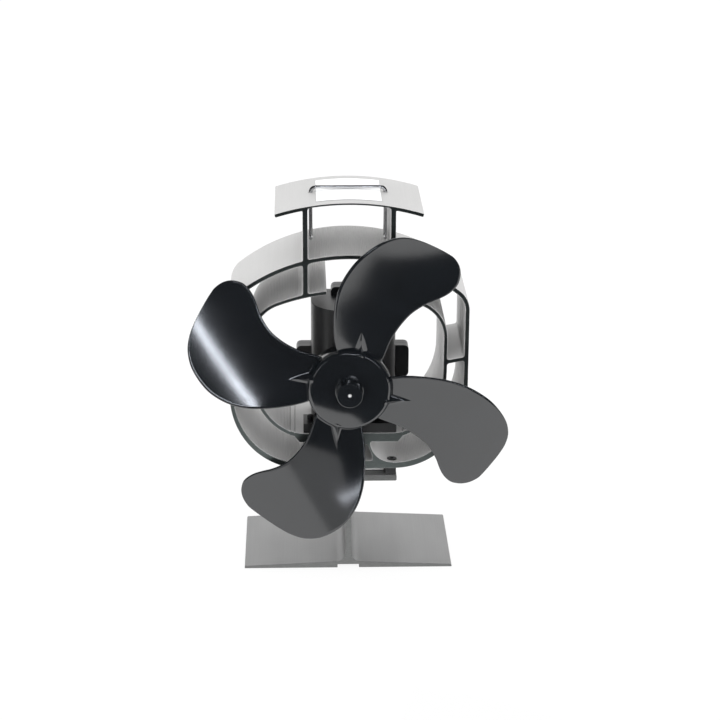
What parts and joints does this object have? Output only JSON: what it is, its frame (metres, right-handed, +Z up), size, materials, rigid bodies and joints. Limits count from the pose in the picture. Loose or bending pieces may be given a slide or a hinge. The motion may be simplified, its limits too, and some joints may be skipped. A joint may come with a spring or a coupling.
{
  "type": "stove fan",
  "caption": "Heat-powered fan that stands on a wood stove: finned aluminium sink on a foot, thermoelectric module, motor in a black case, bladed wheel and wire handle.",
  "frame": {"origin": "middle of the whole object's footprint box, on the surface it stands on", "axes": "+Z up, -Y towards the side the fan wheel faces, +X to the right as seen from the front"},
  "size_m": [0.1748, 0.0899, 0.2175],
  "materials": {
    "anodised_aluminium": "grey-green anodised, fine extrusion lines along the depth, satin",
    "black_plastic": "satin black, fine moulded grain",
    "black_rubber": "matt",
    "black_sleeve": "satin wire sleeve",
    "black_steel": "blackened, satin",
    "bracket_aluminium": "grey anodised, satin",
    "brass": "satin",
    "bronze": "satin, sintered or rolled",
    "copper": "enamelled copper wire and segments",
    "ferrite": "matt dark grey",
    "graphite": "matt dark foil",
    "green_sealant": "matt dark green",
    "label_white": "white film label, blank, satin",
    "red_sleeve": "satin wire sleeve",
    "steel": "bright",
    "telluride": "dull metallic grey",
    "wheel_plastic": "black, semi-gloss",
    "white_ceramic": "matt white, unglazed",
    "white_nylon": "satin"
  },
  "bodies": {
    "stand": {"base_bracket": "bracket_aluminium", "bimetal_rivet_left": "steel", "bimetal_rivet_right": "steel", "black_lead": "black_sleeve", "blank_label": "label_white", "brush_left": "brass", "brush_right": "brass", "clamp_screw_back_left": "black_steel", "clamp_screw_back_right": "black_steel", "clamp_screw_front_left": "black_steel", "clamp_screw_front_right": "black_steel", "cold_pad": "graphite", "foot_screw_left": "black_steel", "foot_screw_right": "black_steel", "front_bearing": "bronze", "heat_sink": "anodised_aluminium", "hot_pad": "graphite", "insulating_bush_back_left": "white_nylon", "insulating_bush_back_right": "white_nylon", "insulating_bush_front_left": "white_nylon", "insulating_bush_front_right": "white_nylon", "lead_clip": "black_plastic", "lead_grommet": "black_rubber", "magnet_left": "ferrite", "magnet_right": "ferrite", "motor_can": "steel", "motor_end_cap": "white_nylon", "motor_screw_left": "steel", "motor_screw_right": "steel", "motor_shell_front": "black_plastic", "motor_shell_rear": "black_plastic", "rear_bearing": "bronze", "red_lead": "red_sleeve", "shell_screw_left": "black_steel", "shell_screw_right": "black_steel", "shell_screw_top": "black_steel", "side_spacer_left": "black_plastic", "side_spacer_right": "black_plastic", "teg_cold_ceramic": "white_ceramic", "teg_elements": "telluride", "teg_hot_ceramic": "white_ceramic", "teg_seal": "green_sealant"},
    "rotor": {"fan_wheel": "wheel_plastic", "motor_shaft": "steel", "armature_core": "steel", "winding_top": "copper", "winding_left": "copper", "winding_right": "copper", "commutator": "copper"},
    "handle": {"carry_handle": "steel"},
    "bimetal": {"bimetal_strip": "bronze"}
  },
  "joints": [
    {"name": "fan_spin", "type": "hinge", "parent": "stand", "child": "rotor", "pos_m": [0, 0, 0.1129], "axis": [0, -1, 0], "continuous": true},
    {"name": "handle_lift", "type": "slide", "parent": "stand", "child": "handle", "axis": [0, 0, 1], "range_m": [0, 0.0225]},
    {"name": "bimetal_bend", "type": "hinge", "parent": "stand", "child": "bimetal", "pos_m": [0, 0.03537, 0.0013], "axis": [1, 0, 0], "range_deg": [0, 2], "stiffness_Nm_per_rad": 0.5, "springref_deg": -0.57}
  ]
}
